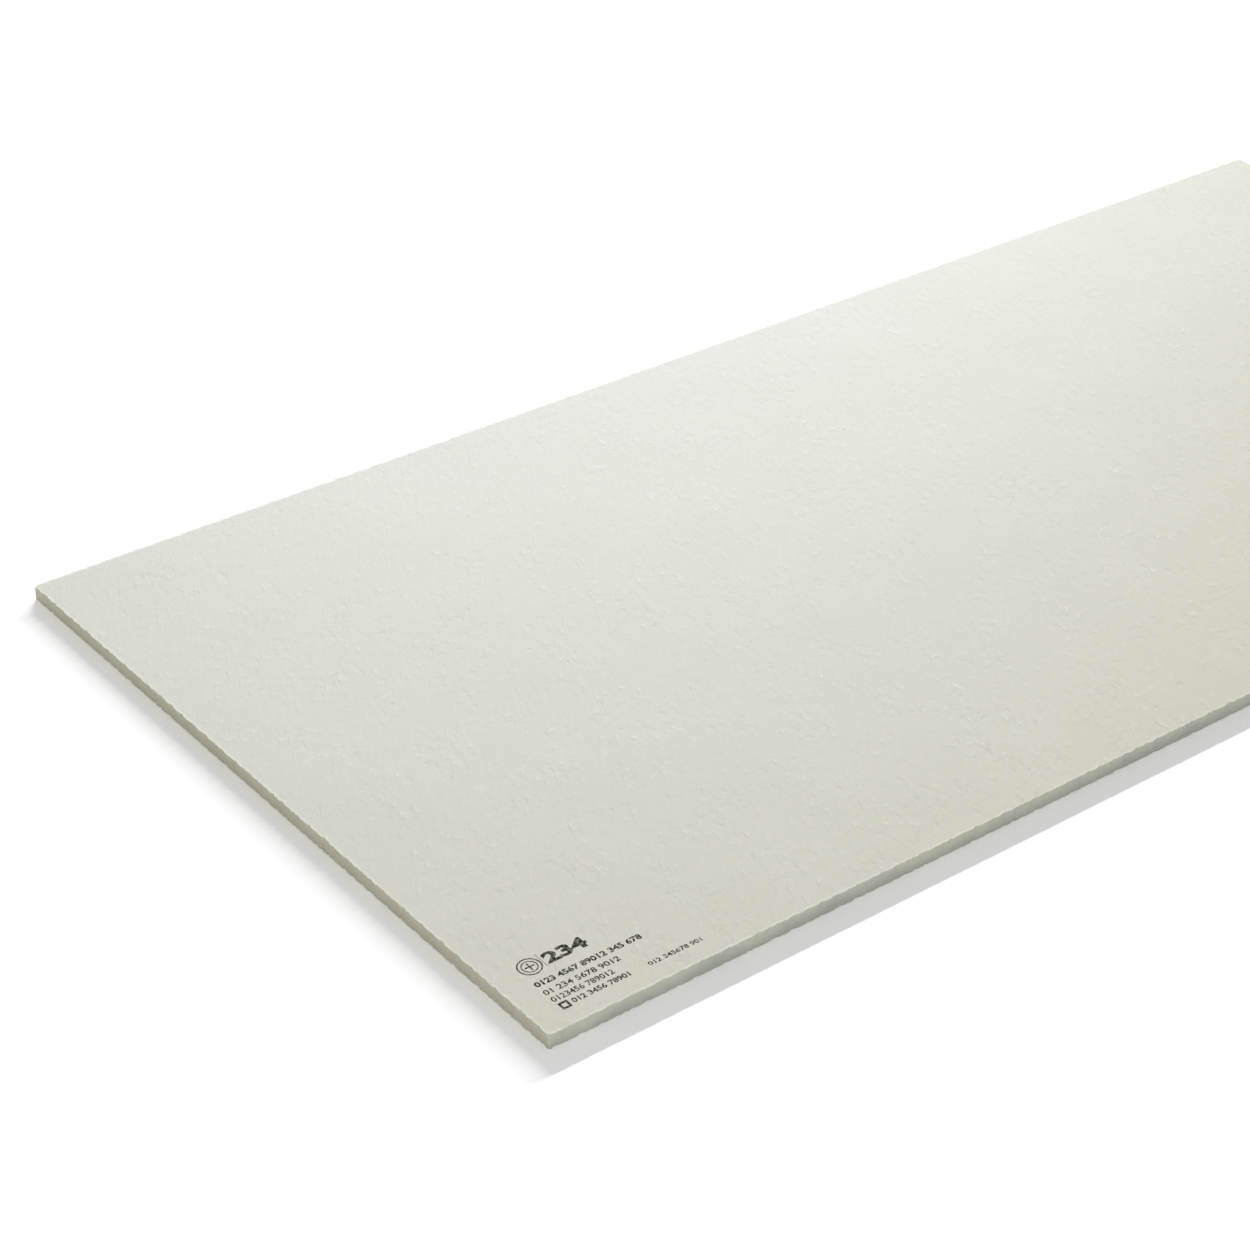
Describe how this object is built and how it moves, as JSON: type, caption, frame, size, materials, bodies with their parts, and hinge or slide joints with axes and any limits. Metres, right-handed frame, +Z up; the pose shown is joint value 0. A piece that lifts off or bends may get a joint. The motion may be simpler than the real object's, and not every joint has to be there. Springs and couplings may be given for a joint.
{
  "type": "fiber cement board",
  "caption": "Flat pressed fiber cement sheet with plain square edges, for floors, walls and linings; screwed through its face to joists or studs.",
  "frame": {"origin": "centre of the back face, which the board lies on", "axes": "+X along the length, +Y across the width, +Z up through the thickness and out of the front face"},
  "size_m": [2.4, 1.2, 0.02],
  "materials": {
    "fiber_cement": "matte",
    "print_ink": "matte"
  },
  "bodies": {
    "root": {"board": "fiber_cement"}
  },
  "joints": []
}
